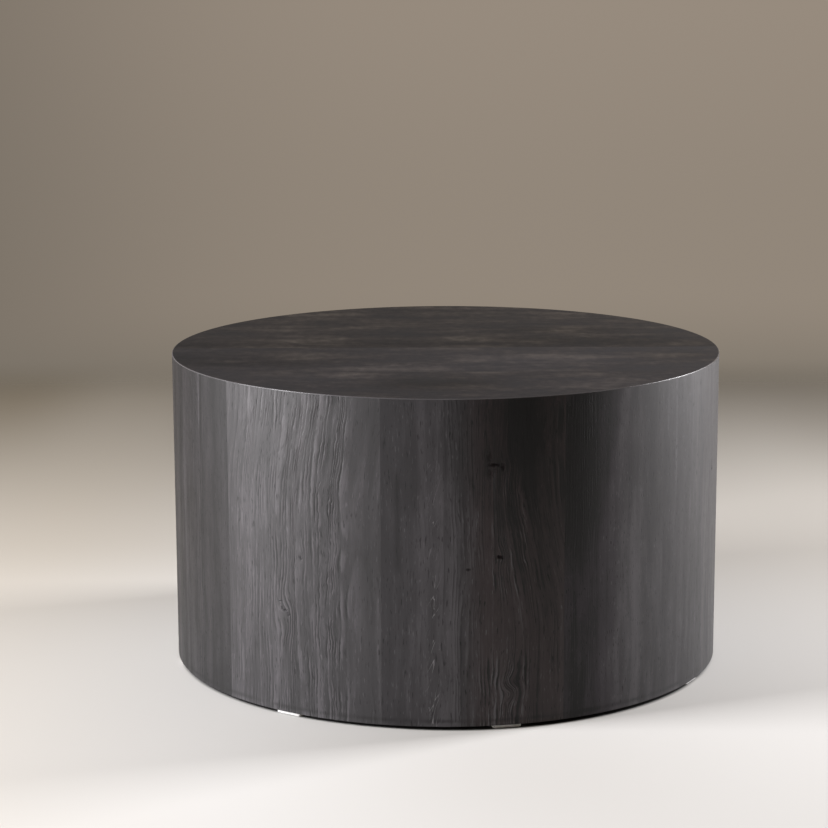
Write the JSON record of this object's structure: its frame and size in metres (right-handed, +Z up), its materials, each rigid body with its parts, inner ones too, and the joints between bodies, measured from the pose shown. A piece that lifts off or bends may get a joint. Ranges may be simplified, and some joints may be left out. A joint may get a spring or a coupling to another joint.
{
  "type": "coffee table",
  "caption": "Low drum-shaped coffee table: a round veneered top on a hollow cylindrical wall with an internal frame and felt pads.",
  "frame": {"origin": "on the floor, at the centre of the drum's footprint", "axes": "+Z up, -Y towards the front of the picture's view, +X to its right"},
  "size_m": [0.8, 0.8, 0.455],
  "materials": {
    "oak_top": "black-stained brushed oak veneer, satin lacquer",
    "oak_side": "black-stained brushed oak veneer, satin lacquer",
    "core_board": "bare medium-density board",
    "backer_sheet": "black-stained balancing veneer",
    "bending_ply": "bare bending plywood",
    "pine": "planed pine",
    "zinc_screw": "zinc plated",
    "felt": "pressed white felt"
  },
  "bodies": {
    "root": {"top_veneer_1": "oak_top", "top_veneer_2": "oak_top", "top_veneer_3": "oak_top", "top_veneer_4": "oak_top", "top_core": "core_board", "top_backer": "backer_sheet", "side_veneer_1": "oak_side", "side_veneer_2": "oak_side", "side_veneer_3": "oak_side", "side_veneer_4": "oak_side", "side_veneer_5": "oak_side", "side_veneer_6": "oak_side", "side_veneer_7": "oak_side", "side_veneer_8": "oak_side", "side_veneer_9": "oak_side", "side_veneer_10": "oak_side", "outer_ply_1": "bending_ply", "outer_ply_2": "bending_ply", "inner_ply_1": "bending_ply", "inner_ply_2": "bending_ply", "top_ring": "core_board", "middle_ring": "core_board", "bottom_ring": "core_board", "stud_1": "pine", "stud_2": "pine", "stud_3": "pine", "stud_4": "pine", "stud_5": "pine", "stud_6": "pine", "stud_7": "pine", "stud_8": "pine", "rail_x": "pine", "rail_y": "pine", "corner_block_1": "pine", "corner_block_2": "pine", "corner_block_3": "pine", "corner_block_4": "pine", "top_screws": "zinc_screw", "stud_screws": "zinc_screw", "rail_screws": "zinc_screw", "felt_pad_1": "felt", "felt_pad_2": "felt", "felt_pad_3": "felt", "felt_pad_4": "felt", "felt_pad_5": "felt", "felt_pad_6": "felt", "felt_pad_7": "felt", "felt_pad_8": "felt"}
  },
  "joints": []
}
